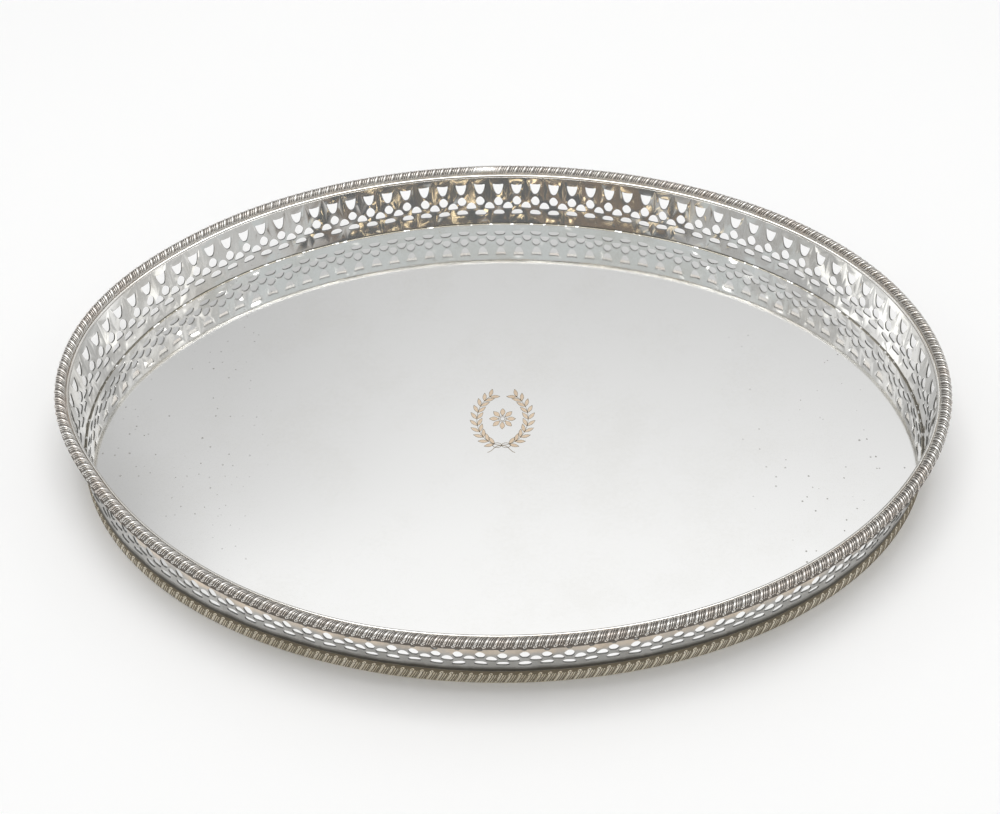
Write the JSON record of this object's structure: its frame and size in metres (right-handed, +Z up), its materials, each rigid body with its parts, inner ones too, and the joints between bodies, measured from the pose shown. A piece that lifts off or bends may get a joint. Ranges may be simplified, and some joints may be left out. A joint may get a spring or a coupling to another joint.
{
  "type": "gallery tray",
  "caption": "Oval silver-plated serving tray: flat mirror-polished plate, flared pierced gallery, gadroon rim border with plain lip, and a gadroon foot ring.",
  "frame": {"origin": "under the middle of the tray, on the surface that the foot ring stands on", "axes": "+X along the oval's long axis, +Y along its short axis, +Z up"},
  "size_m": [0.5082, 0.3508, 0.0543],
  "materials": {
    "polished_plate": "mirror-polished silver plate with small pits and fine wear scratches",
    "pierced_gallery": "polished silver plate with light brown tarnish near the joints",
    "rim_lip": "polished silver plate, slightly worn",
    "rim_border": "silver plate worn to a pinkish copper tint on the lobes, dark grooves",
    "foot_border": "dull tarnished silver plate, dark grooves",
    "foot_collar": "dull tarnished silver plate"
  },
  "bodies": {
    "root": {"tray_plate": "polished_plate", "gallery_right": "pierced_gallery", "gallery_back": "pierced_gallery", "gallery_left": "pierced_gallery", "gallery_front": "pierced_gallery", "rim_lip_back": "rim_lip", "rim_lip_front": "rim_lip", "rim_gadroon_back_right": "rim_border", "rim_gadroon_back_left": "rim_border", "rim_gadroon_front_left": "rim_border", "rim_gadroon_front_right": "rim_border", "foot_gadroon_back_right": "foot_border", "foot_gadroon_back_left": "foot_border", "foot_gadroon_front_left": "foot_border", "foot_gadroon_front_right": "foot_border", "foot_collar_back": "foot_collar", "foot_collar_front": "foot_collar"}
  },
  "joints": []
}
